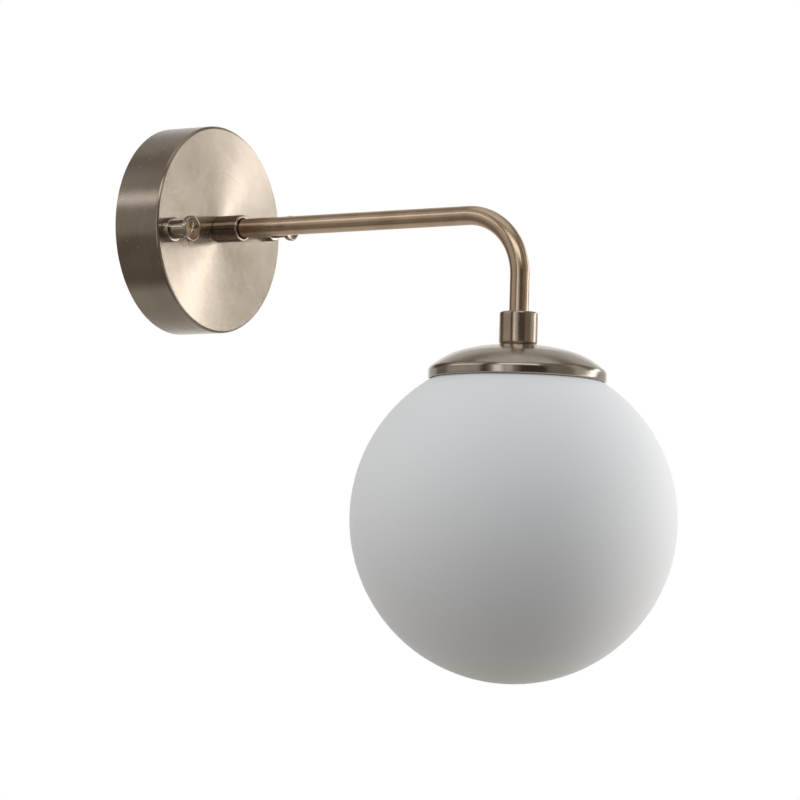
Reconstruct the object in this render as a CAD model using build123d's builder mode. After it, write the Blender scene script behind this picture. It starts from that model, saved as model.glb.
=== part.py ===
from build123d import *
from math import cos, radians, sin, sqrt
import os

# Globe wall sconce. Millimetres. The origin is on the wall, on the axis of the round backplate.
# +Z is up, the arm reaches out from the wall along -Y, and +X is to the right seen from the room.

# ---------------------------------------------------------------- driving sizes
# the lamp as a whole
arm_reach = 196.5            # wall to the axis of the arm's vertical leg
globe_depth = 141.5          # axis of the arm's level leg down to the centre of the globe
stud_turn = 7.0              # turn of the stud line from level, in degrees, as the lamp hangs

# clearances
thread_gap = 0.05            # screw thread in its hole, radial
slip_gap = 0.1               # tube in its collar, radial
hole_gap = 0.25              # screw or stud through a plain hole, radial
running_gap = 0.08           # screw ring on the lampholder, radial

# screws: radii
stud_radius = 2.0            # M4
nipple_radius = 5.0          # M10 fine thread
nipple_bore = 3.75
grub_radius = 1.5            # M3
small_screw_radius = 1.25    # M2.5

# backplate: a drawn round cup
plate_radius = 50.0
plate_depth = 25.0
plate_wall = 1.0
plate_edge = 1.4             # outer radius of its rolled front edge

# wall bracket: a joggled strip behind the backplate, with a lug for the terminal block
strip_margin = 5.5           # strip beyond the axis of each stud
strip_width = 20.0
strip_wall = 1.6
strip_corner = 6.0
joggle_start = 33.5          # distance from the axis where the strip starts to stand off the wall
joggle_run = 2.5
joggle_height = 3.0
stud_pitch_radius = 41.0     # plate axis to each stud
fixing_pitch_radius = 27.0   # plate axis to each wall screw hole
fixing_hole_radius = 2.6
cable_hole_radius = 7.0
lug_width = 27.0
lug_height = 35.0
earth_screw_place = 16.5

# studs and their nuts
stud_head_radius = 3.5
stud_head_height = 2.4
stud_reach = 8.0             # stud end beyond the backplate's face, inside the thumb nut
stud_nut_flats = 7.0
stud_nut_height = 3.2

# thumb nuts: turned spools
thumb_base_radius = 5.9
thumb_base_height = 3.6
thumb_neck_radius = 4.4
thumb_length = 14.2
thumb_head_radius = 6.15
thumb_head_height = 2.2
thumb_rim_bevel = 0.7
thumb_face_dish = 0.5
thumb_pip_radius = 0.7
thumb_bore_depth = 9.5

# arm tube and its two collars
tube_radius = 4.5
tube_wall = 1.0
bend_radius = 29.0           # centre line
arm_collar_radius = 6.45
arm_collar_length = 14.0
arm_collar_bevel = 0.8
arm_thread_depth = 6.5
mouth_radius = 5.15          # relief round the tube where it leaves the arm collar
mouth_depth = 3.0
lower_collar_radius = 8.85
lower_collar_height = 15.5
lower_collar_bevel = 0.9
lower_collar_foot_bevel = 1.3
lower_tube_depth = 8.5
grub_socket = 1.5            # across flats
nipple_spare = 3.0           # thread showing inside the backplate beyond its nut
nut_flats = 14.0
nut_height = 3.0
nut_corner_turn = 0.98       # corners turned down to this share of their full reach
washer_radius = 9.0
washer_wall = 0.8
washer_teeth = 12

# gallery: the spun dome over the globe. Insets are in from its rim, drops are down from its top.
gallery_radius = 41.0
gallery_wall = 1.0
gallery_height = 16.1
gallery_rim_gap = 0.3        # rim clear of the glass, square to it
gallery_seat_radius = 10.0   # flat seat under the lower collar
gallery_crown_inset = 21.0   # a point on the crown arc
gallery_crown_drop = 1.35
gallery_shoulder_inset = 12.0
gallery_shoulder_drop = 3.8
gallery_turn_inset = 4.7     # a point on the shoulder arc
gallery_turn_drop = 7.7
gallery_band_inset = 0.6     # where the shoulder rolls over into the upright band
gallery_band_height = 5.2
gallery_edge = 0.9           # roll between shoulder and band

# globe
globe_radius = 75.0
glass_wall = 3.0
glass_hole_radius = 17.0

# lampholder: a threaded sleeve with a ceramic insert, hung from the nipple by its cap
cap_radius = 20.0
cap_wall = 1.2
cap_boss_radius = 9.0
cap_boss_height = 1.0
cap_hub_radius = 8.0
cap_hub_height = 4.0
cap_skirt_radius = 12.3
cap_skirt_wall = 1.3
cap_skirt_height = 6.0
sleeve_radius = 14.0
sleeve_wall = 1.6
sleeve_relief = 0.5          # the sleeve is smaller below its thread
sleeve_thread_length = 10.0
sleeve_length = 22.0
sleeve_lip_radius = 10.5
sleeve_lip_wall = 1.2
pin_spacing = 9.0
pin_wall = 0.9
pin_width = 2.6
pin_length = 7.5
pin_gap = 0.3
contact_wall = 0.5
contact_width = 3.0
contact_reach = 8.8          # contact leg above the insert's lower face

# screw ring cemented into the glass, and the seal on it
ring_length = 9.0            # thread length, and so the drop that frees the globe
ring_flange_radius = 22.0
cement_gap = 0.1
seal_wall = 1.0
seal_inset = 0.5

# bulb
bulb_base_radius = 8.0
bulb_base_height = 10.0
bulb_radius = 9.0
bulb_length = 40.0
bulb_wall = 1.0
bulb_clearance = 0.2         # bulb base below the lampholder's insert

# terminal block and wires
block_width = 25.0
block_length = 16.0
block_height = 12.5
block_start = 17.0           # its lower side, from the plate axis along the lug
pole_pitch = 8.0
pole_radius = 1.7
wire_height = 6.0            # wire axis above the lug
wire_radius = 1.0
wire_spacing = 3.0           # the two lamp wires side by side in the tube
wire_insert = 4.0
wire_stub = 2.0              # straight run of the earth wire at its ends
wire_knee = 10.2             # where the lamp wires leave the block's line, from the plate axis
live_bend = 12.0
neutral_bend = 30.0
arm_entry_bend = 4.5
earth_bend = 3.6
terminal_screw_radius = 1.6
earth_tag_wall = 0.8
earth_tag_radius = 4.0
barrel_radius = 1.7
barrel_start = 4.5
barrel_length = 5.0

# ---------------------------------------------------------------- places
# Heights on the globe's axis are above the globe's centre.
turn = radians(stud_turn)
stud_line = Vector(cos(turn), 0, sin(turn))
hang_axis = Axis((0, -arm_reach, 0), (0, 0, 1))
hang_section = Plane((0, -arm_reach, -globe_depth), x_dir=(1, 0, 0), z_dir=(0, -1, 0))
wall_section = Plane((0, 0, 0), x_dir=(1, 0, 0), z_dir=(0, 0, -1))
strip_section = Plane((0, 0, 0), x_dir=stud_line, z_dir=(sin(turn), 0, -cos(turn)))

stud_spots = ((-stud_pitch_radius, 0), (stud_pitch_radius, 0))
strip_length = 2 * (stud_pitch_radius + strip_margin)
plate_inside = plate_depth - plate_wall
strip_face = joggle_height + strip_wall
arm_collar_end = plate_depth + arm_collar_length
tube_start = plate_depth + arm_thread_depth
rim_height = sqrt((globe_radius + gallery_rim_gap) ** 2 - (gallery_radius - gallery_wall) ** 2)
dome_top = rim_height + gallery_height
dome_inside = dome_top - gallery_wall
collar_top = dome_top + lower_collar_height
tube_end = collar_top - lower_tube_depth
cap_top = dome_inside - washer_wall
disc_top = cap_top - cap_boss_height
disc_bottom = disc_top - cap_wall
sleeve_bottom = disc_bottom - sleeve_length
insert_bottom = sleeve_bottom + sleeve_lip_wall
insert_top = disc_bottom - cap_skirt_height
seal_bottom = disc_bottom - seal_wall
ring_bore = sleeve_radius + running_gap
bulb_top = insert_bottom - bulb_clearance
contact_top = insert_bottom + contact_reach


def out_plane(distance):
    """A plane parallel to the wall, facing the room."""
    return Plane.XZ.offset(distance)


def strip_plane(distance):
    """The same, turned with the wall bracket: local x runs along the studs."""
    return Plane((0, -distance, 0), x_dir=stud_line, z_dir=(0, -1, 0))


def hang_plane(height):
    """A level plane at a height above the globe's centre, on the globe's axis."""
    return Plane((0, -arm_reach, height - globe_depth))


def ring(plane, outer, inner, height):
    """Add a flat ring or tube that stands on a plane."""
    with BuildSketch(plane) as outline:
        Circle(outer)
        Circle(inner, mode=Mode.SUBTRACT)
    extrude(outline.sketch, amount=height)


def hex_nut(plane, flats, bore, height, places=((0, 0),)):
    """Add hexagon nuts with turned corners."""
    corner_radius = nut_corner_turn * flats / sqrt(3)
    with BuildSketch(plane) as outline:
        with Locations(*places):
            RegularPolygon(flats / 2, 6, major_radius=False)
    with BuildSketch(plane) as turned:
        with Locations(*places):
            Circle(corner_radius)
            Circle(bore, mode=Mode.SUBTRACT)
    extrude(outline.sketch & turned.sketch, amount=height)


def toothed_washer(plane):
    """Add a lock washer with its teeth round the outside."""
    with BuildSketch(plane) as outline:
        Circle(washer_radius)
        Circle(nipple_radius + hole_gap, mode=Mode.SUBTRACT)
        with PolarLocations(washer_radius, washer_teeth):
            Rectangle(washer_radius / 3, washer_wall, mode=Mode.SUBTRACT)
    extrude(outline.sketch, amount=washer_wall)


def grub_screw(plane, length):
    """Add a socket set screw that points into a plane against its normal."""
    with BuildSketch(plane) as outline:
        Circle(grub_radius)
    extrude(outline.sketch, amount=-length)
    with BuildSketch(plane) as socket:
        RegularPolygon(grub_socket / 2, 6, major_radius=False)
    extrude(socket.sketch, amount=-length / 2, mode=Mode.SUBTRACT)


def wire(points, radii):
    """Add a round insulated wire along straight runs joined by tangent arcs."""
    with BuildLine() as route:
        FilletPolyline(*points, radius=radii)
    first_run = Vector(*points[1]) - Vector(*points[0])
    with BuildSketch(Plane(points[0], z_dir=first_run.normalized())) as outline:
        Circle(wire_radius)
    sweep(outline.sketch, path=route.wire())


os.makedirs("parts", exist_ok=True)

# ---------------------------------------------------------------- wall bracket and studs
with BuildPart() as wall_bracket:
    with BuildSketch(strip_section):
        with BuildLine():
            joggle_end = joggle_start + joggle_run
            Polyline(
                (-strip_length / 2, joggle_height),
                (-joggle_end, joggle_height),
                (-joggle_start, 0),
                (joggle_start, 0),
                (joggle_end, joggle_height),
                (strip_length / 2, joggle_height),
            )
            offset(amount=strip_wall, side=Side.LEFT, kind=Kind.INTERSECTION)
        make_face()
    extrude(amount=lug_height, both=True)
    with BuildSketch(strip_plane(0)):
        RectangleRounded(strip_length, strip_width, strip_corner)
        with Locations((0, lug_height / 2)):
            Rectangle(lug_width, lug_height)
    extrude(amount=strip_face, mode=Mode.INTERSECT)
    with BuildSketch(strip_plane(0)):
        Circle(cable_hole_radius)
        with Locations((-fixing_pitch_radius, 0), (fixing_pitch_radius, 0)):
            Circle(fixing_hole_radius)
        with Locations(*stud_spots):
            Circle(stud_radius + hole_gap)
        with Locations((earth_screw_place, 0)):
            Circle(stud_radius + thread_gap)
        with Locations((pole_pitch / 2, block_start + block_length / 2)):
            Circle(small_screw_radius + thread_gap)
    extrude(amount=strip_face, mode=Mode.SUBTRACT)
wall_bracket.part.label = "wall_bracket"
export_step(wall_bracket.part, "parts/wall_bracket.step")

with BuildPart() as studs:
    with BuildSketch(strip_plane(joggle_height - stud_head_height)):
        with Locations(*stud_spots):
            Circle(stud_head_radius)
    extrude(amount=stud_head_height)
    with BuildSketch(strip_plane(joggle_height)):
        with Locations(*stud_spots):
            Circle(stud_radius)
    extrude(amount=plate_depth + stud_reach - joggle_height)
    with BuildSketch(strip_plane(joggle_height - stud_head_height)):
        with Locations(*stud_spots):
            Rectangle(2 * stud_head_radius, stud_radius / 2)
    extrude(amount=stud_head_height / 2, mode=Mode.SUBTRACT)
studs.part.label = "studs"
export_step(studs.part, "parts/studs.step")

with BuildPart() as stud_nuts:
    hex_nut(strip_plane(strip_face), stud_nut_flats, stud_radius + thread_gap, stud_nut_height, stud_spots)
stud_nuts.part.label = "stud_nuts"
export_step(stud_nuts.part, "parts/stud_nuts.step")

# ---------------------------------------------------------------- backplate and thumb nuts
with BuildPart() as backplate:
    with BuildSketch(wall_section):
        with BuildLine():
            FilletPolyline(
                (plate_radius, 0),
                (plate_radius, plate_depth),
                (nipple_radius + hole_gap, plate_depth),
                radius=plate_edge,
            )
            offset(amount=plate_wall, side=Side.LEFT)
        make_face()
    revolve(axis=Axis.Y)
    with BuildSketch(strip_plane(plate_depth)):
        with Locations(*stud_spots):
            Circle(stud_radius + hole_gap)
    extrude(amount=-plate_wall, mode=Mode.SUBTRACT)
backplate.part.label = "backplate"
export_step(backplate.part, "parts/backplate.step")

thumb_neck_end = thumb_length - thumb_head_height
for side, thumb_name in ((-1, "thumb_nut_left"), (1, "thumb_nut_right")):
    seat = stud_line * (side * stud_pitch_radius) + Vector(0, -plate_depth, 0)
    with BuildPart() as thumb_nut:
        with BuildSketch(Plane(seat, x_dir=(1, 0, 0), z_dir=(0, 0, -1))):
            with BuildLine():
                Polyline(
                    (stud_radius + thread_gap, 0),
                    (thumb_base_radius, 0),
                    (thumb_base_radius, thumb_base_height - thumb_rim_bevel / 2),
                    (thumb_base_radius - thumb_rim_bevel / 2, thumb_base_height),
                    (thumb_neck_radius, thumb_base_height),
                    (thumb_neck_radius, thumb_neck_end),
                    (thumb_head_radius, thumb_neck_end),
                    (thumb_head_radius, thumb_length - thumb_rim_bevel),
                    (thumb_head_radius - thumb_rim_bevel, thumb_length),
                    (thumb_pip_radius, thumb_length - thumb_face_dish),
                    (0, thumb_length - thumb_face_dish + thumb_pip_radius / 2),
                    (0, thumb_bore_depth + stud_radius / 2),
                    (stud_radius + thread_gap, thumb_bore_depth),
                    close=True,
                )
            make_face()
        revolve(axis=Axis(seat, (0, -1, 0)))
    thumb_nut.part.label = thumb_name
    export_step(thumb_nut.part, f"parts/{thumb_name}.step")

# ---------------------------------------------------------------- arm and its fixing in the backplate
arm_grub_place = (tube_start + arm_collar_end - mouth_depth) / 2
with BuildPart() as arm_collar:
    with BuildSketch(wall_section):
        with BuildLine():
            Polyline(
                (nipple_radius + thread_gap, plate_depth),
                (arm_collar_radius, plate_depth),
                (arm_collar_radius, arm_collar_end - arm_collar_bevel),
                (arm_collar_radius - arm_collar_bevel, arm_collar_end),
                (mouth_radius, arm_collar_end),
                (mouth_radius, arm_collar_end - mouth_depth),
                (tube_radius + slip_gap, arm_collar_end - mouth_depth),
                (tube_radius + slip_gap, tube_start),
                (nipple_radius + thread_gap, tube_start),
                close=True,
            )
        make_face()
    revolve(axis=Axis.Y)
    with BuildSketch(Plane((0, -arm_grub_place, 0), x_dir=(0, 1, 0), z_dir=(1, 0, 0))):
        Circle(grub_radius + thread_gap)
    extrude(amount=arm_collar_radius, mode=Mode.SUBTRACT)
arm_collar.part.label = "arm_collar"
export_step(arm_collar.part, "parts/arm_collar.step")

with BuildPart() as arm_grub_screw:
    grub_end = Plane((arm_collar_radius - slip_gap, -arm_grub_place, 0), x_dir=(0, 1, 0), z_dir=(1, 0, 0))
    grub_screw(grub_end, arm_collar_radius - tube_radius - 2 * slip_gap)
arm_grub_screw.part.label = "arm_grub_screw"
export_step(arm_grub_screw.part, "parts/arm_grub_screw.step")

arm_nut_inside = plate_inside - washer_wall - nut_height
with BuildPart() as arm_nipple:
    nipple_start = arm_nut_inside - nipple_spare
    ring(out_plane(nipple_start), nipple_radius, nipple_bore, tube_start - hole_gap - nipple_start)
arm_nipple.part.label = "arm_nipple"
export_step(arm_nipple.part, "parts/arm_nipple.step")

with BuildPart() as arm_washer:
    toothed_washer(out_plane(plate_inside - washer_wall))
arm_washer.part.label = "arm_washer"
export_step(arm_washer.part, "parts/arm_washer.step")

with BuildPart() as arm_nut:
    hex_nut(out_plane(arm_nut_inside), nut_flats, nipple_radius + thread_gap, nut_height)
arm_nut.part.label = "arm_nut"
export_step(arm_nut.part, "parts/arm_nut.step")

with BuildPart() as arm_tube:
    with BuildLine() as tube_line:
        FilletPolyline(
            (0, -tube_start, 0),
            (0, -arm_reach, 0),
            (0, -arm_reach, tube_end - globe_depth),
            radius=bend_radius,
        )
    with BuildSketch(out_plane(tube_start)):
        Circle(tube_radius)
        Circle(tube_radius - tube_wall, mode=Mode.SUBTRACT)
    sweep(path=tube_line.wire())
arm_tube.part.label = "arm_tube"
export_step(arm_tube.part, "parts/arm_tube.step")

# ---------------------------------------------------------------- lower collar and gallery
lower_grub_place = collar_top - lower_tube_depth / 2
with BuildPart() as lower_collar:
    with BuildSketch(hang_section):
        with BuildLine():
            Polyline(
                (nipple_radius + thread_gap, dome_top),
                (lower_collar_radius - lower_collar_foot_bevel, dome_top),
                (lower_collar_radius, dome_top + lower_collar_foot_bevel),
                (lower_collar_radius, collar_top - lower_collar_bevel),
                (lower_collar_radius - lower_collar_bevel, collar_top),
                (tube_radius + slip_gap, collar_top),
                (tube_radius + slip_gap, tube_end),
                (nipple_radius + thread_gap, tube_end),
                close=True,
            )
        make_face()
    revolve(axis=hang_axis)
    with BuildSketch(Plane((0, -arm_reach, lower_grub_place - globe_depth), x_dir=(0, 1, 0), z_dir=(1, 0, 0))):
        Circle(grub_radius + thread_gap)
    extrude(amount=lower_collar_radius, mode=Mode.SUBTRACT)
lower_collar.part.label = "lower_collar"
export_step(lower_collar.part, "parts/lower_collar.step")

with BuildPart() as lower_grub_screw:
    grub_end = Plane(
        (lower_collar_radius - slip_gap, -arm_reach, lower_grub_place - globe_depth),
        x_dir=(0, 1, 0),
        z_dir=(1, 0, 0),
    )
    grub_screw(grub_end, lower_collar_radius - tube_radius - 2 * slip_gap)
lower_grub_screw.part.label = "lower_grub_screw"
export_step(lower_grub_screw.part, "parts/lower_grub_screw.step")

with BuildPart() as lower_nipple:
    nipple_foot = disc_bottom - cap_hub_height
    ring(hang_plane(nipple_foot), nipple_radius, nipple_bore, tube_end - hole_gap - nipple_foot)
lower_nipple.part.label = "lower_nipple"
export_step(lower_nipple.part, "parts/lower_nipple.step")

gallery_seat = (gallery_seat_radius, dome_top)
gallery_crown = (gallery_radius - gallery_crown_inset, dome_top - gallery_crown_drop)
gallery_shoulder = (gallery_radius - gallery_shoulder_inset, dome_top - gallery_shoulder_drop)
gallery_turn = (gallery_radius - gallery_turn_inset, dome_top - gallery_turn_drop)
gallery_roll = (gallery_radius - gallery_band_inset, rim_height + gallery_band_height)
gallery_band = (gallery_radius, rim_height + gallery_band_height - gallery_edge)
with BuildPart() as gallery:
    with BuildSketch(hang_section):
        with BuildLine():
            Line((nipple_radius + hole_gap, dome_top), gallery_seat)
            ThreePointArc(gallery_seat, gallery_crown, gallery_shoulder)
            ThreePointArc(gallery_shoulder, gallery_turn, gallery_roll)
            Polyline(gallery_roll, gallery_band, (gallery_radius, rim_height))
            offset(amount=gallery_wall, side=Side.RIGHT)
        make_face()
    revolve(axis=hang_axis)
gallery.part.label = "gallery"
export_step(gallery.part, "parts/gallery.step")

with BuildPart() as gallery_washer:
    toothed_washer(hang_plane(cap_top))
gallery_washer.part.label = "gallery_washer"
export_step(gallery_washer.part, "parts/gallery_washer.step")

# ---------------------------------------------------------------- lampholder
with BuildPart() as holder_cap:
    ring(hang_plane(disc_bottom), cap_radius, nipple_radius + thread_gap, cap_wall)
    ring(hang_plane(disc_top), cap_boss_radius, nipple_radius + thread_gap, cap_top - disc_top)
    ring(hang_plane(disc_bottom), cap_hub_radius, nipple_radius + thread_gap, -cap_hub_height)
    ring(hang_plane(disc_bottom), cap_skirt_radius, cap_skirt_radius - cap_skirt_wall, -cap_skirt_height)
holder_cap.part.label = "holder_cap"
export_step(holder_cap.part, "parts/holder_cap.step")

with BuildPart() as holder_sleeve:
    with BuildSketch(hang_section):
        with BuildLine():
            relief_top = disc_bottom - sleeve_thread_length
            Polyline(
                (sleeve_radius - sleeve_wall, disc_bottom),
                (sleeve_radius, disc_bottom),
                (sleeve_radius, relief_top),
                (sleeve_radius - sleeve_relief, relief_top - sleeve_relief),
                (sleeve_radius - sleeve_relief, sleeve_bottom),
                (sleeve_lip_radius, sleeve_bottom),
                (sleeve_lip_radius, insert_bottom),
                (sleeve_radius - sleeve_wall, insert_bottom),
                close=True,
            )
        make_face()
    revolve(axis=hang_axis)
holder_sleeve.part.label = "holder_sleeve"
export_step(holder_sleeve.part, "parts/holder_sleeve.step")

contact_back = pin_spacing / 2 + pin_wall / 2 + pin_gap
slot_inner = pin_spacing / 2 - pin_wall / 2 - pin_gap
slot_outer = contact_back + contact_wall + slip_gap
contact_inner = wire_spacing / 2 - wire_radius / 2
with BuildPart() as holder_insert:
    with BuildSketch(hang_plane(insert_bottom)):
        Circle(cap_skirt_radius)
    extrude(amount=insert_top - insert_bottom)
    for side in (-1, 1):
        with BuildSketch(hang_plane(insert_bottom)):
            with Locations((side * (slot_inner + slot_outer) / 2, 0)):
                Rectangle(slot_outer - slot_inner, contact_width + 2 * slip_gap)
        extrude(amount=contact_reach + slip_gap, mode=Mode.SUBTRACT)
        with BuildSketch(hang_plane(contact_top + slip_gap)):
            with Locations((side * (contact_inner + slot_outer) / 2, 0)):
                Rectangle(slot_outer - contact_inner + 2 * slip_gap, contact_width + 2 * slip_gap)
        extrude(amount=-contact_wall - 2 * slip_gap, mode=Mode.SUBTRACT)
        with BuildSketch(hang_plane(insert_top)):
            with Locations((side * wire_spacing / 2, 0)):
                Circle(wire_radius + slip_gap)
        extrude(amount=contact_top - insert_top, mode=Mode.SUBTRACT)
holder_insert.part.label = "holder_insert"
export_step(holder_insert.part, "parts/holder_insert.step")

with BuildPart() as holder_contacts:
    for side in (-1, 1):
        with BuildSketch(hang_plane(contact_top)):
            with Locations((side * (contact_inner + contact_back + contact_wall) / 2, 0)):
                Rectangle(contact_back + contact_wall - contact_inner, contact_width)
        extrude(amount=-contact_wall)
        with BuildSketch(hang_plane(contact_top)):
            with Locations((side * (contact_back + contact_wall / 2), 0)):
                Rectangle(contact_wall, contact_width)
        extrude(amount=-contact_reach + pin_gap)
holder_contacts.part.label = "holder_contacts"
export_step(holder_contacts.part, "parts/holder_contacts.step")

# ---------------------------------------------------------------- globe, screw ring and seal
glass_inside = globe_radius - glass_wall
hole_top = sqrt(globe_radius**2 - glass_hole_radius**2)
hole_foot = sqrt(glass_inside**2 - glass_hole_radius**2)
with BuildPart() as globe:
    with BuildSketch(hang_section):
        with BuildLine():
            ThreePointArc((0, -globe_radius), (globe_radius, 0), (glass_hole_radius, hole_top))
            Line((glass_hole_radius, hole_top), (glass_hole_radius, hole_foot))
            ThreePointArc((glass_hole_radius, hole_foot), (glass_inside, 0), (0, -glass_inside))
            Line((0, -glass_inside), (0, -globe_radius))
        make_face()
    revolve(axis=hang_axis)
globe.part.label = "globe"
export_step(globe.part, "parts/globe.step")

flange_top = seal_bottom
flange_edge = sqrt(globe_radius**2 - ring_flange_radius**2) + cement_gap
with BuildPart() as screw_ring:
    with BuildSketch(hang_section):
        with BuildLine():
            Polyline(
                (ring_bore, flange_top),
                (ring_flange_radius, flange_top),
                (ring_flange_radius, flange_edge),
                (glass_hole_radius + cement_gap, hole_top + cement_gap),
                (glass_hole_radius - cement_gap, hole_top + cement_gap),
                (glass_hole_radius - cement_gap, flange_top - ring_length),
                (ring_bore, flange_top - ring_length),
                close=True,
            )
        make_face()
    revolve(axis=hang_axis)
screw_ring.part.label = "screw_ring"
export_step(screw_ring.part, "parts/screw_ring.step")

with BuildPart() as seal:
    ring(hang_plane(seal_bottom), ring_flange_radius - seal_inset, sleeve_radius + seal_inset, seal_wall)
seal.part.label = "seal"
export_step(seal.part, "parts/seal.step")

# ---------------------------------------------------------------- bulb
with BuildPart() as bulb_base:
    with BuildSketch(hang_plane(bulb_top)):
        Circle(bulb_base_radius)
    extrude(amount=-bulb_base_height)
    fillet(bulb_base.edges().group_by(Axis.Z)[-1], bulb_wall)
bulb_base.part.label = "bulb_base"
export_step(bulb_base.part, "parts/bulb_base.step")

with BuildPart() as bulb_pins:
    with BuildSketch(hang_plane(bulb_top)):
        with Locations((-pin_spacing / 2, 0), (pin_spacing / 2, 0)):
            Rectangle(pin_wall, pin_width)
    extrude(amount=pin_length)
    fillet(bulb_pins.edges().group_by(Axis.Z)[-1].filter_by(Axis.X), pin_width / 2 - slip_gap)
bulb_pins.part.label = "bulb_pins"
export_step(bulb_pins.part, "parts/bulb_pins.step")

bulb_shoulder = bulb_top - bulb_base_height
bulb_round = bulb_shoulder - bulb_length + bulb_radius
with BuildPart() as bulb_envelope:
    with BuildSketch(hang_section):
        with BuildLine():
            Line((bulb_radius, bulb_shoulder), (bulb_radius, bulb_round))
            CenterArc((0, bulb_round), bulb_radius, 0, -90)
            offset(amount=bulb_wall, side=Side.RIGHT)
        make_face()
    revolve(axis=hang_axis)
bulb_envelope.part.label = "bulb_envelope"
export_step(bulb_envelope.part, "parts/bulb_envelope.step")

# ---------------------------------------------------------------- terminal block, earth and wires
block_seat = strip_wall
block_middle = block_start + block_length / 2
poles = (-pole_pitch, 0, pole_pitch)
screw_rows = (block_middle - block_length / 4, block_middle + block_length / 4)
with BuildPart() as terminal_block:
    with BuildSketch(strip_plane(block_seat)):
        with Locations((0, block_middle)):
            RectangleRounded(block_width, block_length, pole_radius)
    extrude(amount=block_height)
    with BuildSketch(strip_plane(block_seat + block_height)):
        with Locations([(x, y) for x in poles for y in screw_rows]):
            Circle(terminal_screw_radius + slip_gap)
    extrude(amount=wire_height - block_height, mode=Mode.SUBTRACT)
    with BuildSketch(strip_plane(block_seat)):
        with Locations((pole_pitch / 2, block_middle)):
            Circle(small_screw_radius + hole_gap)
    extrude(amount=block_height, mode=Mode.SUBTRACT)
    for x in poles:
        start = strip_plane(block_seat + wire_height).from_local_coords((x, block_start, 0))
        with BuildSketch(Plane(start, x_dir=stud_line, z_dir=(-sin(turn), 0, cos(turn)))):
            Circle(pole_radius)
        extrude(amount=block_length, mode=Mode.SUBTRACT)
terminal_block.part.label = "terminal_block"
export_step(terminal_block.part, "parts/terminal_block.step")

with BuildPart() as terminal_screws:
    screw_top = strip_plane(block_seat + block_height - slip_gap)
    screw_foot = wire_height + wire_radius + slip_gap
    with BuildSketch(screw_top):
        with Locations([(x, y) for x in poles for y in screw_rows]):
            Circle(terminal_screw_radius)
    extrude(amount=screw_foot - block_height + slip_gap)
    with BuildSketch(screw_top):
        with Locations([(x, y) for x in poles for y in screw_rows]):
            Rectangle(2 * terminal_screw_radius, terminal_screw_radius / 3)
    extrude(amount=-terminal_screw_radius / 2, mode=Mode.SUBTRACT)
terminal_screws.part.label = "terminal_screws"
export_step(terminal_screws.part, "parts/terminal_screws.step")

with BuildPart() as block_screw:
    with BuildSketch(strip_plane(0)):
        with Locations((pole_pitch / 2, block_middle)):
            Circle(small_screw_radius)
    extrude(amount=block_seat + block_height)
    with BuildSketch(strip_plane(block_seat + block_height)):
        with Locations((pole_pitch / 2, block_middle)):
            Circle(2 * small_screw_radius)
    extrude(amount=small_screw_radius)
    with BuildSketch(strip_plane(block_seat + block_height + small_screw_radius)):
        with Locations((pole_pitch / 2, block_middle)):
            Rectangle(4 * small_screw_radius, small_screw_radius / 2)
    extrude(amount=-small_screw_radius / 2, mode=Mode.SUBTRACT)
block_screw.part.label = "block_screw"
export_step(block_screw.part, "parts/block_screw.step")

barrel_height = strip_wall + earth_tag_wall + wire_radius
tag_foot = strip_plane(strip_wall)
with BuildPart() as earth_tag:
    with BuildSketch(tag_foot):
        with Locations((earth_screw_place, 0)):
            Circle(earth_tag_radius)
        with Locations((earth_screw_place, (barrel_start + barrel_length) / 2)):
            Rectangle(2 * wire_radius, barrel_start + barrel_length)
        with Locations((earth_screw_place, 0)):
            Circle(stud_radius + hole_gap, mode=Mode.SUBTRACT)
    extrude(amount=earth_tag_wall)
    barrel_foot = strip_plane(barrel_height).from_local_coords((earth_screw_place, barrel_start, 0))
    with BuildSketch(Plane(barrel_foot, x_dir=stud_line, z_dir=(-sin(turn), 0, cos(turn)))):
        Circle(barrel_radius)
        Circle(wire_radius + thread_gap, mode=Mode.SUBTRACT)
    extrude(amount=barrel_length)
    split(bisect_by=tag_foot)
earth_tag.part.label = "earth_tag"
export_step(earth_tag.part, "parts/earth_tag.step")

with BuildPart() as earth_screw:
    head_seat = strip_wall + earth_tag_wall
    with BuildSketch(strip_plane(0)):
        with Locations((earth_screw_place, 0)):
            Circle(stud_radius)
    extrude(amount=head_seat)
    with BuildSketch(strip_plane(head_seat)):
        with Locations((earth_screw_place, 0)):
            Circle(stud_head_radius)
    extrude(amount=stud_head_height)
    with BuildSketch(strip_plane(head_seat + stud_head_height)):
        with Locations((earth_screw_place, 0)):
            Rectangle(2 * stud_head_radius, stud_radius / 2)
            Rectangle(stud_radius / 2, 2 * stud_head_radius)
    extrude(amount=-stud_head_height / 2, mode=Mode.SUBTRACT)
earth_screw.part.label = "earth_screw"
export_step(earth_screw.part, "parts/earth_screw.step")

wire_level = block_seat + wire_height
wire_plane = strip_plane(wire_level)
wire_foot = contact_top - globe_depth
lamp_wires = (
    ("live_wire", -pole_pitch, -wire_spacing / 2, live_bend),
    ("neutral_wire", 0, wire_spacing / 2, neutral_bend),
)
for wire_name, pole, side_offset, first_bend in lamp_wires:
    with BuildPart() as lamp_wire:
        block_end = wire_plane.from_local_coords((pole, block_start + wire_insert, 0))
        knee = wire_plane.from_local_coords((pole, wire_knee, 0))
        wire(
            (
                tuple(block_end),
                tuple(knee),
                (side_offset, -wire_level, 0),
                (side_offset, -arm_reach, 0),
                (side_offset, -arm_reach, wire_foot),
            ),
            (first_bend, arm_entry_bend, bend_radius),
        )
    lamp_wire.part.label = wire_name
    export_step(lamp_wire.part, f"parts/{wire_name}.step")

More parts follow.
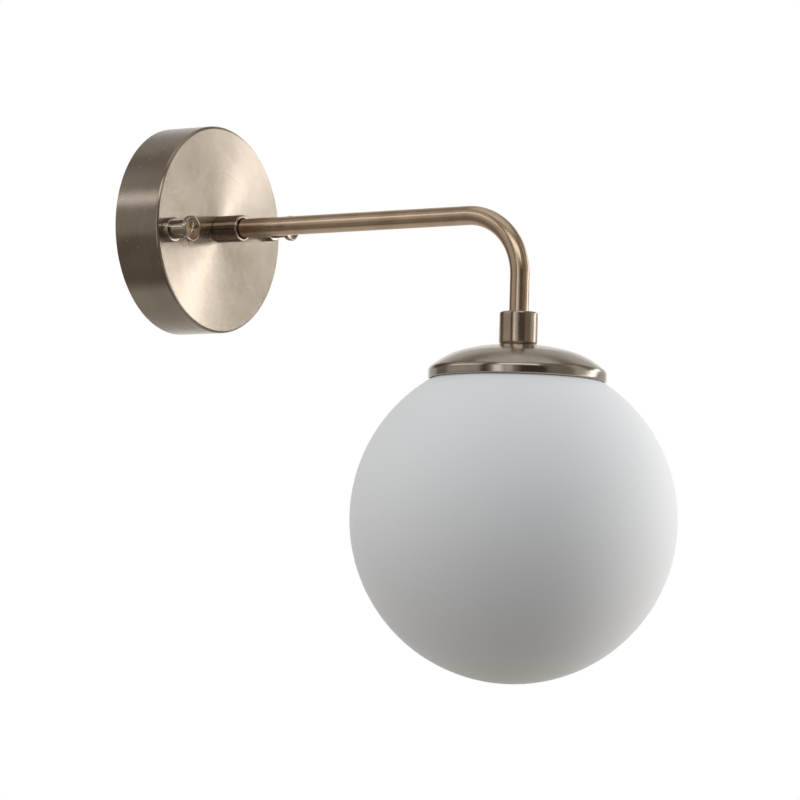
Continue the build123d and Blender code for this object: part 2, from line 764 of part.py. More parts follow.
with BuildPart() as earth_wire:
    tag_plane = strip_plane(barrel_height)
    earth_points = (
        wire_plane.from_local_coords((pole_pitch, block_start + wire_insert, 0)),
        wire_plane.from_local_coords((pole_pitch, block_start - wire_stub, 0)),
        tag_plane.from_local_coords((earth_screw_place, barrel_start + barrel_length + wire_stub, 0)),
        tag_plane.from_local_coords((earth_screw_place, barrel_start, 0)),
    )
    wire([tuple(point) for point in earth_points], (earth_bend, earth_bend))
earth_wire.part.label = "earth_wire"
export_step(earth_wire.part, "parts/earth_wire.step")
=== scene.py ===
import math

import bmesh
import bpy
from mathutils import Matrix, Vector


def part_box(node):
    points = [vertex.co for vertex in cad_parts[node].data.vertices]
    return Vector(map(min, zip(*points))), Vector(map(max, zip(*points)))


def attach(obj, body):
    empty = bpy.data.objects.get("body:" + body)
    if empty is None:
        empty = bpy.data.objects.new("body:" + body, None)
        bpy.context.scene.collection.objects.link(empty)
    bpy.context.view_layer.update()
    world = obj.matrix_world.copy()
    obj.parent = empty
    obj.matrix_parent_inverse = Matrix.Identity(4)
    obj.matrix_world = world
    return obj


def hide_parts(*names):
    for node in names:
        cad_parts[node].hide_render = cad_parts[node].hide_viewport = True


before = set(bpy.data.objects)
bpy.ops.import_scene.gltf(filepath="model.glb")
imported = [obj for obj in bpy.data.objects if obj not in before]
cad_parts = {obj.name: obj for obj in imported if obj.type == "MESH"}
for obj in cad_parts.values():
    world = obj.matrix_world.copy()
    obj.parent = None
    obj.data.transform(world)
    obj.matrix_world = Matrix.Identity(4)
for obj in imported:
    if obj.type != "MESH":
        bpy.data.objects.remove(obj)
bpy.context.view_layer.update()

# ---------------------------------------------------------------- wall bracket, studs and nuts
# A strip pressed from steel sheet and screwed to the wall, with two studs clamped to it by nuts.
# All of it is plated with bright zinc. It shows from behind only.


class Value:
    """A socket of a shader tree that can be used in Python expressions."""

    def __init__(self, tree, socket):
        self.tree = tree
        self.socket = socket

    def math(self, operation, *others):
        node = self.tree.nodes.new("ShaderNodeMath")
        node.operation = operation
        for slot, value in zip(node.inputs, (self, *others)):
            feed(self.tree, slot, value)
        return Value(self.tree, node.outputs[0])

    def __add__(self, other):
        return self.math("ADD", other)

    def __sub__(self, other):
        return self.math("SUBTRACT", other)

    def __rsub__(self, other):
        return self.math("MULTIPLY_ADD", -1.0, other)

    def __mul__(self, other):
        return self.math("MULTIPLY", other)

    def __truediv__(self, other):
        return self.math("DIVIDE", other)

    def __rtruediv__(self, other):
        return (self ** -1.0) * other

    def __pow__(self, other):
        return self.math("POWER", other)

    __radd__ = __add__
    __rmul__ = __mul__


def feed(tree, slot, value):
    """Link a value to an input, or set the input to a plain number, colour or vector."""
    if isinstance(value, Value):
        tree.links.new(value.socket, slot)
    elif slot.type == "RGBA" and len(value) == 3:
        slot.default_value = (*value, 1.0)
    else:
        slot.default_value = value


class Tree:
    """The node tree of one material or world, emptied and ready for nodes."""

    def __init__(self, owner):
        owner.use_nodes = True
        self.tree = owner.node_tree
        self.tree.nodes.clear()

    def add(self, kind, settings=None, output=0, inputs=()):
        """Add a node. inputs holds pairs of a socket's name or place and its value."""
        node = self.tree.nodes.new("ShaderNode" + kind)
        for name, setting in (settings or {}).items():
            setattr(node, name, setting)
        for name, value in inputs:
            feed(self.tree, node.inputs[name], value)
        return Value(self.tree, node.outputs[output])

    def place(self):
        return self.add("TexCoord", output="Object")

    def axes(self, vector):
        return [self.add("SeparateXYZ", output=axis, inputs=[(0, vector)]) for axis in "XYZ"]

    def vector(self, x, y, z):
        return self.add("CombineXYZ", inputs=[(0, x), (1, y), (2, z)])

    def vectors(self, operation, *vectors, output="Vector"):
        return self.add("VectorMath", {"operation": operation}, output, list(enumerate(vectors)))

    def dot(self, first, second):
        return self.vectors("DOT_PRODUCT", first, second, output="Value")

    def length(self, vector):
        return self.vectors("LENGTH", vector, output="Value")

    def scaled(self, vector, factor):
        scale = {"operation": "SCALE"}
        return self.add("VectorMath", scale, inputs=[("Vector", vector), ("Scale", factor)])

    def noise(self, vector, scale, detail):
        """Clouds about 1 / scale metres across, with finer ones laid over them."""
        inputs = [("Vector", vector), ("Scale", scale), ("Detail", detail)]
        return self.add("TexNoise", inputs=inputs)

    def step(self, value, low, high):
        """0 on the low side, 1 on the high side, and smooth between them."""
        smooth = {"interpolation_type": "SMOOTHSTEP"}
        inputs = [("Value", value), ("From Min", low), ("From Max", high)]
        return self.add("MapRange", smooth, inputs=inputs)

    def blend(self, share, first, second, how="MIX"):
        """Mix two colours. A Mix node keeps its colour sockets at places 6, 7 and 2."""
        settings = {"data_type": "RGBA", "blend_type": how}
        return self.add("Mix", settings, 2, [(0, share), (6, first), (7, second)])

    def bump(self, height, strength, depth):
        inputs = [("Height", height), ("Strength", strength), ("Distance", depth)]
        return self.add("Bump", inputs=inputs)

    def show(self, shader, kind="OutputMaterial"):
        """Make a shader what the whole tree shows."""
        output = self.tree.nodes.new("ShaderNode" + kind)
        feed(self.tree, output.inputs["Surface"], shader)


def finish(name, light, dark, roughness, metallic=0.0, grain=500.0):
    """A plain finish: two tones in soft clouds, with a fine grain."""
    uneven = 0.06
    material = bpy.data.materials.new(name)
    s = Tree(material)
    cloud = s.noise(s.place(), scale=120.0, detail=4.0)
    fine = s.noise(s.place(), scale=grain, detail=3.0)
    s.show(s.add("BsdfPrincipled", inputs=[
        ("Base Color", s.blend(s.step(cloud, 0.35, 0.65), dark, light)),
        ("Metallic", metallic),
        ("Roughness", cloud * (2.0 * uneven) + (roughness - uneven)),
        ("Normal", s.bump(fine, strength=0.3, depth=0.00002)),
    ]))
    return material


def dress(material, *names):
    """Give a finish to parts that keep their own mesh."""
    for name in names:
        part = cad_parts[name]
        part.data.materials.clear()
        part.data.materials.append(material)


zinc = finish("zinc_plate", (0.74, 0.75, 0.76), (0.60, 0.61, 0.62), 0.30, metallic=1.0, grain=900.0)
dress(zinc, "wall_bracket", "studs", "stud_nuts", "arm_nipple", "arm_nut", "arm_washer")
dress(zinc, "lower_nipple", "gallery_washer", "arm_grub_screw", "lower_grub_screw")

# ---------------------------------------------------------------- terminal block, earth and wires
# A moulded nylon block with brass screws on the bracket's lug, and a tinned tag for the earth.
# The wires have soft plastic insulation, plain for the lamp and two-coloured for the earth.

dress(finish("white_nylon", (0.84, 0.84, 0.81), (0.79, 0.79, 0.76), 0.42), "terminal_block")
brass = finish("tinned_brass", (0.80, 0.70, 0.47), (0.70, 0.60, 0.38), 0.25, metallic=1.0)
dress(brass, "terminal_screws", "block_screw", "earth_tag", "earth_screw", "holder_contacts")
dress(finish("brown_insulation", (0.22, 0.11, 0.055), (0.18, 0.09, 0.045), 0.40), "live_wire")
dress(finish("blue_insulation", (0.055, 0.17, 0.46), (0.045, 0.14, 0.39), 0.40), "neutral_wire")

earth_green = (0.10, 0.38, 0.08)
earth_yellow = (0.80, 0.68, 0.05)
earth_stripe = 0.0009
earth_insulation = bpy.data.materials.new("earth_insulation")
s = Tree(earth_insulation)
along_x = s.axes(s.place())[0]
stripe = (along_x * (math.pi / earth_stripe)).math("SINE")
s.show(s.add("BsdfPrincipled", inputs=[
    ("Base Color", s.blend(s.step(stripe, -0.1, 0.1), earth_green, earth_yellow)),
    ("Roughness", 0.40),
]))
dress(earth_insulation, "earth_wire")

# ---------------------------------------------------------------- backplate
# A round cup drawn from 1 mm steel sheet, plated in antique nickel and brushed in rings.
# It sits over the bracket, against the wall.

nickel_light = (0.53, 0.46, 0.39)
nickel_dark = (0.45, 0.39, 0.32)
bare_speck = (0.86, 0.82, 0.76)


def turned_finish(
    name, centre, axis, roughness, spread,
    light=nickel_light, dark=nickel_dark, specks=0.0, wall_shade=1.0,
):
    """Plated metal brushed round an axis: fine lines spread its reflections across the lines.

    spread is how far they tilt the surface, specks how clear the bare specks in the plating are,
    and the last, a painted shade, how light the sides round the axis are painted beside the faces
    across it. The pitch sets the lines of the sides apart from those of the faces.
    """
    side_pitch = 1.3
    wobble = 0.0001
    lines_per_metre = 6000.0
    grains_per_metre = 1e5
    streaks_per_metre = 900.0
    streaks_per_turn = 4.0
    material = bpy.data.materials.new(name)
    s = Tree(material)
    offset = s.vectors("SUBTRACT", s.place(), centre)
    along = s.dot(offset, axis)
    flat = s.vectors("SUBTRACT", offset, s.scaled(axis, along))
    radius = s.length(flat)
    spoke = s.scaled(flat, 1.0 / (radius + 1e-6))
    ring = s.vectors("CROSS_PRODUCT", axis, spoke)
    normal = s.add("NewGeometry", output="Normal")

    # The way of the brush over the faces and the sides, and the lines, grit and streaks it left
    path = radius + along * side_pitch
    uneven_path = path + s.noise(s.place(), scale=60.0, detail=3.0) * wobble
    one_way = {"noise_dimensions": "1D"}
    line = s.add("TexNoise", one_way, inputs=[("W", uneven_path), ("Scale", lines_per_metre)])
    grit_place = s.scaled(s.place(), grains_per_metre)
    grit = s.add("TexWhiteNoise", {"noise_dimensions": "3D"}, "Value", [("Vector", grit_place)])
    round_the_axis = s.scaled(spoke, streaks_per_turn)
    over_the_path = s.scaled(axis, path * streaks_per_metre)
    streaks = s.noise(s.vectors("ADD", round_the_axis, over_the_path), scale=1.0, detail=3.0)
    tilt = (grit - 0.5) * (2.0 * spread) + (line - 0.5) * (0.5 * spread)
    across = s.vectors("CROSS_PRODUCT", normal, ring)
    tilted = s.vectors("NORMALIZE", s.vectors("ADD", normal, s.scaled(across, tilt)))

    # Specks in loose groups, where the plating has rubbed through
    cell = s.add("TexVoronoi", output="Distance", inputs=[("Vector", s.place()), ("Scale", 420.0)])
    group = s.step(s.noise(s.place(), scale=110.0, detail=1.0), 0.55, 0.62)
    speck = s.step(cell, 0.13, 0.06) * group

    cloud = s.noise(s.place(), scale=45.0, detail=4.0)
    tone = s.step(cloud * 0.75 + streaks * 0.25, 0.34, 0.64)
    # Painted shade: the side walls round the axis are painted darker than the faces across it
    faces = s.step(s.dot(normal, axis), 0.1, 0.9)
    shade = s.blend(faces, (wall_shade, wall_shade, wall_shade), (1.0, 1.0, 1.0))
    plating_and_shade = s.blend(1.0, s.blend(tone, dark, light), shade, how="MULTIPLY")
    dullness = (cloud - 0.5) * 0.14 + (streaks - 0.5) * 0.04 + speck * (0.2 * specks)
    s.show(s.add("BsdfPrincipled", inputs=[
        ("Base Color", s.blend(speck * specks, plating_and_shade, bare_speck)),
        ("Metallic", 1.0),
        ("Roughness", dullness + roughness),
        ("Normal", tilted),
    ]))
    return material


def outline(points, origin, along):
    """A closed wire in the half plane of an axis.

    A point is its radius, its distance along the axis and, if it is rounded, the rounding.
    """
    shape = bmesh.new()
    side = Vector((1.0, 0.0, 0.0))
    origin, along = Vector(origin), Vector(along)
    corners = [shape.verts.new(origin + side * point[0] + along * point[1]) for point in points]
    for first, second in zip(corners, corners[1:] + corners[:1]):
        shape.edges.new((first, second))
    for corner, point in zip(corners, points):
        for rounding in point[2:]:
            bmesh.ops.bevel(
                shape, geom=[corner], offset=rounding, offset_type="OFFSET", segments=6,
                profile=0.5, affect="VERTICES", material=-1,
            )
    return shape


def guard_flats(shape, margin=0.00015):
    """Add a point near both ends of each long straight run, which keeps its shading flat."""
    for edge in [edge for edge in shape.edges if edge.calc_length() > 10 * margin]:
        for corner in list(edge.verts):
            run = next(line for line in corner.link_edges if line.calc_length() > 8 * margin)
            bmesh.utils.edge_split(run, corner, margin / run.calc_length())


def spin_about(shape, origin, along, steps):
    """Turn a wire into a solid round an axis."""
    bmesh.ops.spin(
        shape, geom=shape.verts[:] + shape.edges[:], cent=origin, axis=along,
        dvec=(0.0, 0.0, 0.0), angle=math.tau, steps=steps, use_merge=True,
    )
    bmesh.ops.remove_doubles(shape, verts=shape.verts, dist=1e-6)


def new_piece(name, shape, material):
    """Turn a bmesh into a smooth piece with its faces outwards."""
    sharpest_smooth = math.radians(35.0)
    bmesh.ops.recalc_face_normals(shape, faces=shape.faces)
    mesh = bpy.data.meshes.new(name)
    shape.to_mesh(mesh)
    shape.free()
    mesh.shade_smooth()
    mesh.set_sharp_from_angle(angle=sharpest_smooth)
    mesh.materials.append(material)
    piece = bpy.data.objects.new(name, mesh)
    bpy.context.scene.collection.objects.link(piece)
    return piece


def hand_over(piece, body, node):
    """Put a piece in the place of a CAD node, on the body that carries it."""
    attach(piece, body)
    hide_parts(node)


plate_low, plate_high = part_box("backplate")
plate_radius = plate_high.x
plate_depth = -plate_low.y
plate_wall = 0.001
plate_edge = 0.0014
plate_hole = 0.00525
outwards = (0.0, -1.0, 0.0)
wall_point = (0.0, 0.0, 0.0)

shape = outline(
    [
        (plate_hole, plate_depth),
        (plate_radius, plate_depth, plate_edge),
        (plate_radius, 0.0),
        (plate_radius - plate_wall, 0.0),
        (plate_radius - plate_wall, plate_depth - plate_wall),
        (plate_hole, plate_depth - plate_wall),
    ],
    wall_point, outwards,
)
guard_flats(shape)
spin_about(shape, wall_point, outwards, steps=256)
# The sides of the cup are painted darker than its face, a painted shade
plate_finish = turned_finish(
    "brushed_plate", wall_point, outwards, roughness=0.17, spread=0.24, specks=1.0, wall_shade=0.76
)
hand_over(new_piece("backplate_cup", shape, plate_finish), "lamp", "backplate")

# ---------------------------------------------------------------- thumb nuts
# Two spools turned from steel bar and tapped blind, plated like the backplate and left bright.
# They screw onto the studs by hand and hold the backplate. The tool left a pip in each dished head.

thumb_base = 0.0059
thumb_base_height = 0.0036
thumb_neck = 0.0044
thumb_head = 0.00615
thumb_head_height = 0.0022
thumb_dish = 0.0005
thumb_pip = 0.0008
thumb_thread = 0.00205
thumb_thread_depth = 0.0095
thumb_light = (0.52, 0.47, 0.41)
thumb_dark = (0.38, 0.33, 0.28)

for side in ("left", "right"):
    low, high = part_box("thumb_nut_" + side)
    length = high.y - low.y
    seat = ((low.x + high.x) / 2, high.y, (low.z + high.z) / 2)
    shape = outline(
        [
            (thumb_thread, 0.0),
            (thumb_base, 0.0, 0.0003),
            (thumb_base, thumb_base_height, 0.0005),
            (thumb_neck, thumb_base_height),
            (thumb_neck, length - thumb_head_height),
            (thumb_head, length - thumb_head_height, 0.0003),
            (thumb_head, length, 0.0007),
            (thumb_pip, length - thumb_dish),
            (0.0, length - thumb_dish + thumb_pip / 2),
            (0.0, thumb_thread_depth + thumb_thread / 2),
            (thumb_thread, thumb_thread_depth),
        ],
        seat, outwards,
    )
    guard_flats(shape)
    spin_about(shape, seat, outwards, steps=96)
    thumb_finish = turned_finish(
        "turned_thumb_nut_" + side, seat, outwards, roughness=0.08, spread=0.05,
        light=thumb_light, dark=thumb_dark,
    )
    spool = new_piece("thumb_nut_spool_" + side, shape, thumb_finish)
    hand_over(spool, side + "_nut", "thumb_nut_" + side)

# ---------------------------------------------------------------- arm collar
# A sleeve turned from steel bar, plated a little warmer and left bright. The hollow nipple clamps
# it to the backplate, and the arm stands in its mouth, held by a set screw.

arm_collar_low, arm_collar_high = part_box("arm_collar")
arm_collar_radius = arm_collar_high.x
arm_collar_end = -arm_collar_low.y
nipple_clear = 0.00505
tube_clear = 0.0046
mouth_radius = 0.00515
mouth_depth = 0.003
tube_start = -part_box("arm_tube")[1].y
collar_light = (0.60, 0.51, 0.42)
collar_dark = (0.48, 0.39, 0.31)

shape = outline(
    [
        (nipple_clear, plate_depth),
        (arm_collar_radius, plate_depth, 0.0005),
        (arm_collar_radius, arm_collar_end, 0.0007),
        (mouth_radius, arm_collar_end, 0.00025),
        (mouth_radius, arm_collar_end - mouth_depth),
        (tube_clear, arm_collar_end - mouth_depth),
        (tube_clear, tube_start),
        (nipple_clear, tube_start),
    ],
    wall_point, outwards,
)
guard_flats(shape)
spin_about(shape, wall_point, outwards, steps=128)
# The collar's sides are painted darker than its faces, a painted shade
collar_finish = turned_finish(
    "turned_arm_collar", wall_point, outwards, roughness=0.05, spread=0.02,
    light=collar_light, dark=collar_dark, wall_shade=0.68,
)
hand_over(new_piece("arm_collar_sleeve", shape, collar_finish), "lamp", "arm_collar")

# ---------------------------------------------------------------- arm tube
# Steel tube, bent once to a right angle. It is polished along its length and plated a little
# warmer than the rest, and its ends stand in the two collars.

tube_low, tube_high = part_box("arm_tube")
tube_radius = tube_high.x
tube_wall = 0.001
arm_reach = -(tube_low.y + tube_radius)
bend_radius = 0.029
tube_foot = tube_low.z
tube_light = (0.74, 0.58, 0.44)
tube_dark = (0.62, 0.475, 0.35)
drawn_across = 9000.0
drawn_along = 250.0

shape = bmesh.new()
root = Matrix.Translation((0.0, -tube_start, 0.0)) @ Matrix.Rotation(math.pi / 2, 4, "X")
for radius in (tube_radius, tube_radius - tube_wall):
    bmesh.ops.create_circle(shape, cap_ends=False, radius=radius, segments=96, matrix=root)
root_rings = shape.edges[:]


def extend(shape, rings, reach):
    """Draw the open rings on in a straight line and return the new ones."""
    drawn = bmesh.ops.extrude_edge_only(shape, edges=rings)["geom"]
    points = [part for part in drawn if isinstance(part, bmesh.types.BMVert)]
    bmesh.ops.translate(shape, verts=points, vec=reach)
    return [part for part in drawn if isinstance(part, bmesh.types.BMEdge)]


rings = extend(shape, root_rings, (0.0, tube_start - (arm_reach - bend_radius), 0.0))
bent = bmesh.ops.spin(
    shape, geom=rings, cent=(0.0, bend_radius - arm_reach, -bend_radius), axis=(1.0, 0.0, 0.0),
    dvec=(0.0, 0.0, 0.0), angle=math.pi / 2, steps=40, use_merge=False,
)
rings = [part for part in bent["geom_last"] if isinstance(part, bmesh.types.BMEdge)]
rings = extend(shape, rings, (0.0, 0.0, tube_foot + bend_radius))
bmesh.ops.bridge_loops(shape, edges=root_rings)
bmesh.ops.bridge_loops(shape, edges=rings)
bmesh.ops.remove_doubles(shape, verts=shape.verts, dist=1e-7)

tube_finish = bpy.data.materials.new("polished_tube")
s = Tree(tube_finish)
x, y, z = s.axes(s.place())
cloud = s.noise(s.place(), scale=60.0, detail=4.0)
drawn_place = s.vector(x * drawn_across, y * drawn_along, z * drawn_along)
drawn = s.noise(drawn_place, scale=1.0, detail=3.0)
s.show(s.add("BsdfPrincipled", inputs=[
    ("Base Color", s.blend(s.step(cloud, 0.35, 0.65), tube_dark, tube_light)),
    ("Metallic", 1.0),
    ("Roughness", (cloud - 0.5) * 0.16 + (drawn - 0.5) * 0.10 + 0.24),
    ("Normal", s.bump(drawn, strength=0.06, depth=0.00002)),
]))
hand_over(new_piece("arm_tube_bent", shape, tube_finish), "lamp", "arm_tube")

# ---------------------------------------------------------------- lower collar
# The same kind of sleeve at the foot of the arm, turned from steel bar and brushed. The lower
# nipple clamps it to the gallery, where it seats on a broad chamfer.

lower_low, lower_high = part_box("lower_collar")
lower_radius = lower_high.x
lower_height = lower_high.z - lower_low.z
lower_seat = (0.0, -arm_reach, lower_low.z)
lower_foot_bevel = 0.0013
upwards = (0.0, 0.0, 1.0)

shape = outline(
    [
        (nipple_clear, 0.0),
        (lower_radius - lower_foot_bevel, 0.0, 0.0002),
        (lower_radius, lower_foot_bevel, 0.0003),
        (lower_radius, lower_height, 0.0009),
        (tube_clear, lower_height),
        (tube_clear, tube_foot - lower_low.z),
        (nipple_clear, tube_foot - lower_low.z),
    ],
    lower_seat, upwards,
)
guard_flats(shape)
spin_about(shape, lower_seat, upwards, steps=128)
lower_finish = turned_finish(
    "turned_lower_collar", lower_seat, upwards, roughness=0.17, spread=0.12,
    light=collar_light, dark=collar_dark, specks=0.4,
)
hand_over(new_piece("lower_collar_sleeve", shape, lower_finish), "lamp", "lower_collar")

# ---------------------------------------------------------------- gallery
# A dome spun from 1 mm steel sheet over a chuck, with a short upright band at its rim. It is
# plated and brushed like the backplate, and carries the lampholder under its crown.

gallery_low, gallery_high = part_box("gallery")
gallery_radius = gallery_high.x
gallery_height = gallery_high.z - gallery_low.z
gallery_foot = (0.0, -arm_reach, gallery_low.z)
gallery_wall = 0.001
gallery_hole = 0.00525
# The outline's points are the radius and the height above the rim.
gallery_seat = (0.010, gallery_height)
gallery_crown = (0.020, gallery_height - 0.00135)
gallery_shoulder = (0.029, gallery_height - 0.0038)
gallery_turn = (0.0363, gallery_height - 0.0077)
gallery_roll = (0.03993, 0.0056)
gallery_round = (0.04072, 0.00457)
gallery_band = (gallery_radius, 0.0033)
gallery_rim = (gallery_radius, 0.0, 0.0007)
gallery_light = (0.56, 0.51, 0.45)
gallery_dark = (0.46, 0.41, 0.355)


def arc_through(first, middle, last, count):
    """Points on the arc through three points, without the last one."""
    start = Vector(first)
    to_middle, to_last = Vector(middle) - start, Vector(last) - start
    to_centre = Vector((
        to_last.y * to_middle.length_squared - to_middle.y * to_last.length_squared,
        to_middle.x * to_last.length_squared - to_last.x * to_middle.length_squared,
    )) / (2.0 * (to_middle.x * to_last.y - to_middle.y * to_last.x))
    centre = start + to_centre
    spoke = start - centre
    sweep = -spoke.angle_signed(Vector(last) - centre)
    turns = [Matrix.Rotation(sweep * i / count, 2) for i in range(count)]
    return [tuple(centre + turn @ spoke) for turn in turns]


def sheet(points, thickness):
    """Close a line of points into a sheet of even thickness on its inner side."""
    inner = []
    for place, point in enumerate(points):
        before = Vector(points[max(place - 1, 0)][:2])
        after = Vector(points[min(place + 1, len(points) - 1)][:2])
        run = (after - before).normalized()
        inner.append((point[0] + run.y * thickness, point[1] - run.x * thickness))
    return points + inner[::-1]


gallery_line = [
    (gallery_hole, gallery_height),
    *arc_through(gallery_seat, gallery_crown, gallery_shoulder, 14),
    *arc_through(gallery_shoulder, gallery_turn, gallery_roll, 14),
    *arc_through(gallery_roll, gallery_round, gallery_band, 10),
    gallery_band,
    gallery_rim,
]
shape = outline(sheet(gallery_line, gallery_wall), gallery_foot, upwards)
spin_about(shape, gallery_foot, upwards, steps=256)
gallery_finish = turned_finish(
    "spun_gallery", gallery_foot, upwards, roughness=0.16, spread=0.08,
    light=gallery_light, dark=gallery_dark, specks=0.3,
)
hand_over(new_piece("gallery_dome", shape, gallery_finish), "lamp", "gallery")

# ---------------------------------------------------------------- lampholder
# A ceramic insert in a threaded plastic sleeve, under a cap that the lower nipple clamps to the
# gallery. The insert takes the bulb's pins, and the globe's ring screws onto the sleeve.

dress(finish("white_ceramic", (0.86, 0.85, 0.82), (0.81, 0.80, 0.77), 0.25), "holder_insert")
phenolic = finish("black_phenolic", (0.045, 0.043, 0.042), (0.03, 0.03, 0.03), 0.38)
dress(phenolic, "holder_sleeve", "holder_cap")

# ---------------------------------------------------------------- globe, screw ring and seal
# A blown ball of opal glass, etched to a satin skin and ground flat round the hole at its top.
# A plastic ring cemented into the hole screws onto the lampholder, with a silicone seal above it.

globe_low, globe_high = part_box("globe")
globe_radius = globe_high.x
globe_centre = (0.0, -arm_reach, globe_low.z + globe_radius)
glass_wall = 0.003
glass_hole = 0.017
opal_light = (0.865, 0.868, 0.868)
opal_dark = (0.835, 0.838, 0.838)


def ball_line(radius, count):
    """Points from the edge of the hole, round the ball's side, to its lowest point."""
    start = math.asin(glass_hole / radius)
    angles = [start + (math.pi - start) * i / count for i in range(count)]
    side = [(radius * math.sin(angle), radius * math.cos(angle)) for angle in angles]
    return side + [(0.0, -radius)]


outer_skin = ball_line(globe_radius, count=96)
inner_skin = ball_line(globe_radius - glass_wall, count=96)
shape = outline(outer_skin + inner_skin[::-1], globe_centre, upwards)
spin_about(shape, globe_centre, upwards, steps=192)
opal = bpy.data.materials.new("opal_glass")
s = Tree(opal)
cloud = s.noise(s.place(), scale=14.0, detail=3.0)
grain = s.noise(s.place(), scale=3000.0, detail=2.0)
s.show(s.add("BsdfPrincipled", inputs=[
    ("Base Color", s.blend(cloud, opal_dark, opal_light)),
    ("Roughness", 0.55),
    ("IOR", 1.45),
    ("Specular IOR Level", 0.35),
    ("Normal", s.bump(grain, strength=0.08, depth=0.00003)),
]))
hand_over(new_piece("globe_ball", shape, opal), "globe", "globe")
dress(finish("white_plastic", (0.80, 0.80, 0.78), (0.75, 0.75, 0.73), 0.40), "screw_ring")
dress(finish("clear_silicone", (0.72, 0.73, 0.73), (0.67, 0.68, 0.68), 0.50), "seal")

# ---------------------------------------------------------------- bulb
# A frosted glass capsule on a ceramic foot, with two pins that plug into the lampholder.
# It shows only when the globe is off.

dress(finish("bulb_foot", (0.85, 0.84, 0.81), (0.80, 0.79, 0.76), 0.30), "bulb_base")
dress(finish("frosted_glass", (0.88, 0.88, 0.86), (0.84, 0.84, 0.82), 0.35), "bulb_envelope")
pin_nickel = finish("nickel_pins", (0.72, 0.70, 0.66), (0.62, 0.60, 0.56), 0.22, metallic=1.0)
dress(pin_nickel, "bulb_pins")

# ---------------------------------------------------------------- camera
# A long lens from the left of the lamp and a little below it, rolled by a degree and a half.
# Its place was fitted to the outlines of the plate, the arm, the gallery and the globe.

camera_place = Vector((-1.59406, -1.19689, -0.24634))
camera_yaw = math.radians(56.263)
camera_pitch = math.radians(4.810)
camera_roll = math.radians(1.608)
image_width = 800
focal_length_in_pixels = 4121.9

lens = bpy.data.cameras.new("long_lens")
lens.sensor_width = 36.0
lens.lens = focal_length_in_pixels * lens.sensor_width / image_width
lens.clip_start = 0.05
camera = bpy.data.objects.new("camera", lens)
aim = Matrix.Rotation(-camera_yaw, 4, "Z") @ Matrix.Rotation(math.pi / 2 + camera_pitch, 4, "X")
camera.matrix_world = Matrix.Translation(camera_place) @ aim @ Matrix.Rotation(camera_roll, 4, "Z")
bpy.context.scene.collection.objects.link(camera)
bpy.context.scene.camera = camera

# ---------------------------------------------------------------- studio
# A white backdrop behind the lamp, a soft light to its right, a white wall and ceiling to its
# left, and a darker room on the camera's side. Metal mirrors one setting and the other lights the
# matt pieces. Bearings are from the camera's side, and turn to its right.

away = Vector((math.sin(camera_yaw), math.cos(camera_yaw), 0.0))
right = Vector((math.cos(camera_yaw), -math.sin(camera_yaw), 0.0))


def towards(bearing, height):
    """The direction at a bearing and a height above the horizon, in degrees."""
    turn, rise = math.radians(bearing), math.radians(height)
    level = right * math.sin(turn) - away * math.cos(turn)
    return level * math.cos(rise) + Vector((0.0, 0.0, math.sin(rise)))


# Sampled as a lamp, the world would light metal by the setting for the matt pieces.
world = bpy.data.worlds.new("studio")
world.cycles.sampling_method = "NONE"
bpy.context.scene.world = world
s = Tree(world)
ray = s.add("TexCoord", output="Generated")


def facing(direction):
    """How squarely a ray points in a direction."""
    return s.dot(ray, tuple(direction))


def panel(bearing, height, half_width, half_height, edge, turn=0.0):
    """1 inside a rectangle with soft edges, sized as if it hung one unit from the lamp."""
    centre = towards(bearing, height)
    level = Vector((-centre.y, centre.x, 0.0)).normalized()
    turned = Matrix.Rotation(math.radians(turn), 3, centre)
    front = facing(centre)
    inside = s.step(front, 0.02, 0.08)
    for direction, half in ((level, half_width), (centre.cross(level), half_height)):
        offset = (facing(turned @ direction) / front.math("MAXIMUM", 0.02)).math("ABSOLUTE")
        inside = inside * s.step(offset, half + edge, half - edge)
    return inside


def cover(behind, share, brightness):
    """Hang something of a brightness before what is there."""
    return behind * (1.0 - share) + share * brightness


rise = facing((0.0, 0.0, 1.0))
backdrop = facing(towards(180, 5))

# What metal mirrors: a dim room, the ceiling, panels on the camera's side, a pale patch of floor
# behind the lamp, the backdrop, and the bright strip that draws the wedges on the backplate.
mirrored = 0.21 - s.step(rise, -0.5, -0.9) * 0.10
mirrored = cover(mirrored, s.step(rise, 0.84, 0.90), 0.58)
for bearing, height, half_width, half_height, edge, brightness in (
    (-78, 33, 0.50, 0.38, 0.06, 0.42),  # left wall, high
    (-75, 25, 0.46, 0.08, 0.05, 1.35),  # strip light along it
    (-78, 3, 0.50, 0.17, 0.06, 0.42),  # left wall, at the lamp's height
    (-45, 0, 0.07, 0.80, 0.03, 0.05),  # dark corner
    (-27, -2, 0.11, 0.34, 0.05, 1.15),  # bright half of a window
    (-13, -2, 0.10, 0.34, 0.05, 0.60),  # its dimmer half
    (19, -2, 0.32, 0.32, 0.05, 0.05),  # dark cloth beside the camera
    (0, 34, 0.45, 0.17, 0.05, 1.60),  # strip light over the camera
    (88, 10, 0.19, 0.70, 0.06, 0.46),  # pale post to the right
    (-25, 72, 0.22, 0.12, 0.08, 0.80),  # light on the ceiling
):
    share = panel(bearing, height, half_width, half_height, edge)
    mirrored = cover(mirrored, share, brightness)
mirrored = cover(mirrored, s.step(facing(towards(-165, -62)), 0.70, 0.85), 0.45)
backdrop_white = 0.52 + s.step(backdrop, 0.85, 0.99) * 0.48
mirrored = cover(mirrored, s.step(backdrop, 0.62, 0.66), backdrop_white)
mirrored = cover(mirrored, panel(114, 5, 0.58, 0.08, 0.07, turn=38), 3.0)
tint = s.blend(s.step(mirrored, 0.05, 0.70), (1.0, 0.86, 0.70), (1.0, 0.985, 0.955))
room = s.add("Background", inputs=[("Color", tint), ("Strength", mirrored)])

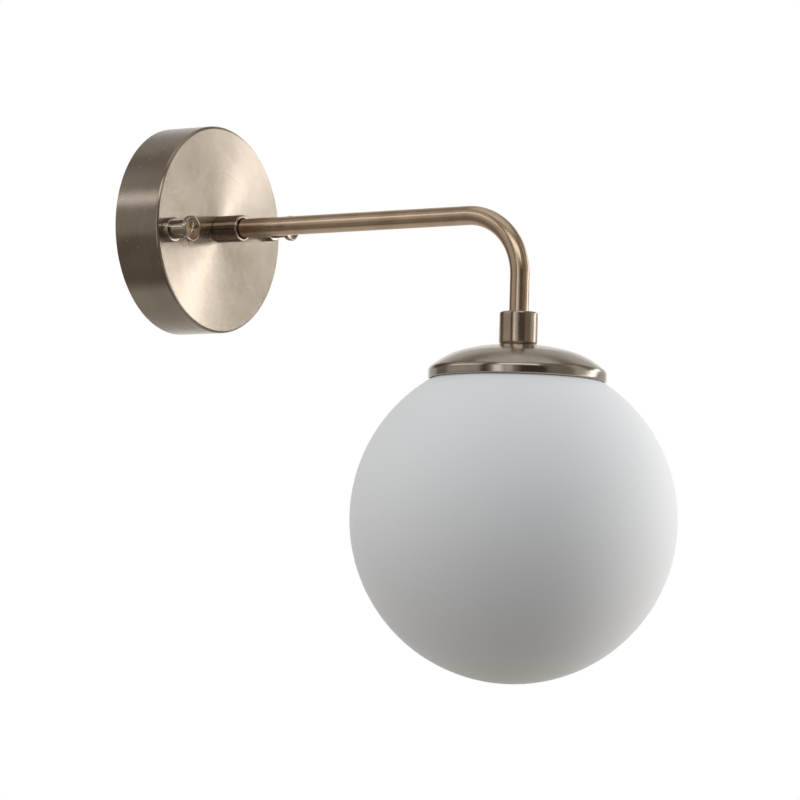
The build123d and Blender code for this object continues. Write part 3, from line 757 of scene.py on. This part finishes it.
# What lights matt pieces: a sky, and broad glows from behind, from the left and from the front.
soft = s.step(rise, -0.25, 0.10) * 0.76
for bearing, height, narrowness, brightness in (
    (150, -30, 2.0, 1.23),
    (-90, -15, 20.0, 2.5),
    (0, 0, 6.0, 0.20),
):
    lit = facing(towards(bearing, height)).math("MAXIMUM", 0.0)
    soft = soft + lit ** narrowness * brightness
warmth = s.blend(s.step(rise, -0.7, 0.2), (1.0, 0.93, 0.86), (0.98, 1.0, 1.02))
lighting = s.add("Background", inputs=[("Color", warmth), ("Strength", soft)])

# The camera sees plain white.
camera_ray = s.add("LightPath", output="Is Camera Ray")
through_glass = s.add("LightPath", output="Is Transmission Ray")
watched = (camera_ray + through_glass).math("MINIMUM", 1.0)
glossy = s.add("LightPath", output="Is Glossy Ray")
white = s.add("Background", inputs=[("Color", (1.0, 1.0, 1.0)), ("Strength", 1.0)])
unwatched = s.add("MixShader", inputs=[(0, glossy), (1, lighting), (2, room)])
shown = s.add("MixShader", inputs=[(0, watched), (1, unwatched), (2, white)])
s.show(shown, "OutputWorld")

light_distance = 1.4
light_side = towards(105, 0)
right_light = bpy.data.lights.new("right_light", "AREA")
right_light.shape = "RECTANGLE"
right_light.size = 0.7
right_light.size_y = 0.9
right_light.energy = 8.2
right_lamp = bpy.data.objects.new("right_light", right_light)
right_lamp.matrix_world = (
    Matrix.Translation(Vector(globe_centre) + light_side * light_distance)
    @ light_side.to_track_quat("Z", "Y").to_matrix().to_4x4()
)
right_lamp.visible_glossy = False
bpy.context.scene.collection.objects.link(right_lamp)

# The floor is pale and matt, and fades into the backdrop's white at its rim. Its face looks down
# and is clear, so that only its back shows, from above, and the lamp can be seen from below.
floor_radius = 1.5
floor_centre = (0.0, -arm_reach, -0.62)
shape = bmesh.new()
bmesh.ops.create_circle(
    shape, cap_ends=True, radius=floor_radius, segments=96, matrix=Matrix.Translation(floor_centre)
)
pale_floor = bpy.data.materials.new("pale_floor")
s = Tree(pale_floor)
from_centre = s.length(s.vectors("SUBTRACT", s.place(), floor_centre))
rim = s.step(from_centre, floor_radius * 0.45, floor_radius * 0.95)
faded = rim * s.add("LightPath", output="Is Camera Ray")
paint = s.add("BsdfDiffuse", inputs=[("Color", (0.90, 0.90, 0.89))])
glow = s.add("Emission", inputs=[("Color", (1.0, 1.0, 1.0)), ("Strength", 1.0)])
top = s.add("MixShader", inputs=[(0, faded), (1, paint), (2, glow)])
back = s.add("NewGeometry", output="Backfacing")
clear = s.add("BsdfTransparent")
s.show(s.add("MixShader", inputs=[(0, back), (1, clear), (2, top)]))
floor = new_piece("floor", shape, pale_floor)
floor.visible_glossy = False
floor.visible_diffuse = False

bpy.context.scene.view_settings.view_transform = "Standard"
